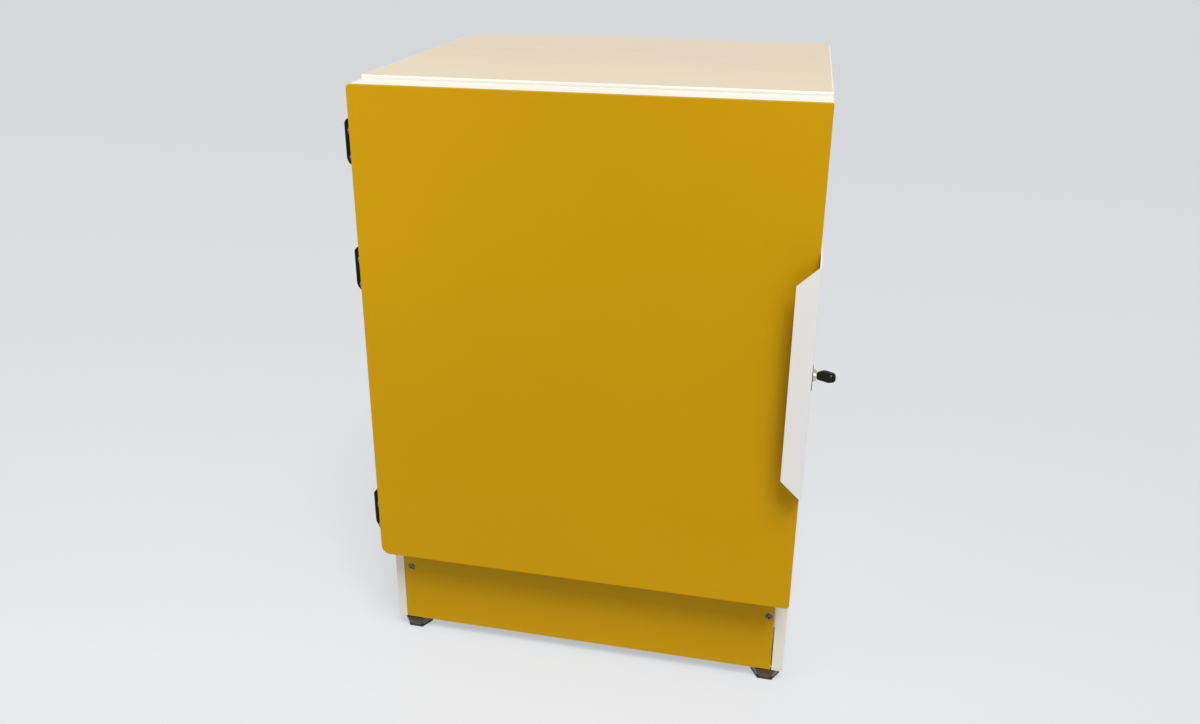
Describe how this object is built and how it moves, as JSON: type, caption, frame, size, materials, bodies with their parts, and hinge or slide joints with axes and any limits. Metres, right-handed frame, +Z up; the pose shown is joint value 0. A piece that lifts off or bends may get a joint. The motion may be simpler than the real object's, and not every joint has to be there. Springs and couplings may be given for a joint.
{
  "type": "lead-lined cabinet",
  "caption": "Free-standing cabinet with lead-lined walls and door, a folded pull handle, a cam lock with its key, a shelf and levelling feet.",
  "frame": {"origin": "on the floor under the middle of the cabinet with its door shut", "axes": "+Z up, -Y out of the front of the door, +X to the right seen from the front"},
  "size_m": [0.6591, 0.5552, 0.874],
  "materials": {
    "yellow_paint": "satin",
    "white_paint": "satin",
    "handle_paint": "satin",
    "rivet_steel": "satin",
    "board": "matte",
    "cream_laminate": "satin",
    "white_edging": "satin",
    "zinc_steel": "satin",
    "dark_steel": "satin",
    "lead": "matte",
    "stainless_steel": "satin",
    "foot_steel": "polished",
    "black_plastic": "matte",
    "black_rubber": "matte",
    "hinge_paint": "satin",
    "timber": "matte",
    "infill_board": "matte",
    "nickel": "polished",
    "key_plastic": "gloss"
  },
  "bodies": {
    "cabinet": {"side_panel_left": "white_paint", "side_panel_right": "white_paint", "back_panel": "white_paint", "back_panel_rivets": "rivet_steel", "base_tray": "white_paint", "roof_tray": "white_paint", "worktop_core": "board", "worktop_laminate": "cream_laminate", "worktop_edging": "white_edging", "plinth_panel": "yellow_paint", "plinth_brackets": "zinc_steel", "plinth_screws": "dark_steel", "lead_left": "lead", "lead_right": "lead", "lead_back": "lead", "lead_base": "lead", "lead_top": "lead", "liner_left": "stainless_steel", "liner_right": "stainless_steel", "liner_back": "stainless_steel", "liner_base": "stainless_steel", "liner_top": "stainless_steel", "shelf": "stainless_steel", "shelf_pegs": "zinc_steel", "foot_brackets": "zinc_steel", "door_seal": "black_rubber", "lock_keeper": "zinc_steel", "hinge_pins": "zinc_steel", "hinge_backing_blocks": "zinc_steel", "hinge_screws_cabinet": "dark_steel", "hinge_top_cabinet_leaf": "hinge_paint", "hinge_middle_cabinet_leaf": "hinge_paint", "hinge_bottom_cabinet_leaf": "hinge_paint"},
    "door": {"door_front_panel": "yellow_paint", "door_casing": "white_paint", "door_lead": "lead", "door_frame": "timber", "door_infill": "infill_board", "door_inner_panel": "white_paint", "handle": "handle_paint", "handle_screws": "zinc_steel", "lock_housing": "nickel", "lock_nut": "zinc_steel", "hinge_screws_door": "dark_steel", "hinge_top_door_leaf": "hinge_paint", "hinge_middle_door_leaf": "hinge_paint", "hinge_bottom_door_leaf": "hinge_paint"},
    "lock": {"lock_plug": "nickel", "lock_cam": "zinc_steel", "cam_screw": "zinc_steel"},
    "key": {"key_blade": "nickel", "key_head": "key_plastic"},
    "foot_front_left": {"foot_stud_front_left": "foot_steel", "foot_pad_front_left": "black_plastic"},
    "foot_front_right": {"foot_stud_front_right": "foot_steel", "foot_pad_front_right": "black_plastic"},
    "foot_rear_left": {"foot_stud_rear_left": "foot_steel", "foot_pad_rear_left": "black_plastic"},
    "foot_rear_right": {"foot_stud_rear_right": "foot_steel", "foot_pad_rear_right": "black_plastic"}
  },
  "joints": [
    {"name": "door_hinge", "type": "hinge", "parent": "cabinet", "child": "door", "pos_m": [-0.315, -0.205, 0.52], "axis": [0, 0, -1], "range_deg": [0, 175]},
    {"name": "lock_turn", "type": "hinge", "parent": "door", "child": "lock", "pos_m": [0.3, -0.222, 0.5145], "axis": [1, 0, 0], "range_deg": [0, 90]},
    {"name": "key_pull", "type": "slide", "parent": "lock", "child": "key", "axis": [1, 0, 0], "range_m": [0, 0.03]},
    {"name": "foot_front_left_thread", "type": "slide", "parent": "cabinet", "child": "foot_front_left", "axis": [0, 0, -1], "range_m": [0, 0.018]},
    {"name": "foot_front_right_thread", "type": "slide", "parent": "cabinet", "child": "foot_front_right", "axis": [0, 0, -1], "range_m": [0, 0.018]},
    {"name": "foot_rear_left_thread", "type": "slide", "parent": "cabinet", "child": "foot_rear_left", "axis": [0, 0, -1], "range_m": [0, 0.018]},
    {"name": "foot_rear_right_thread", "type": "slide", "parent": "cabinet", "child": "foot_rear_right", "axis": [0, 0, -1], "range_m": [0, 0.018]}
  ]
}
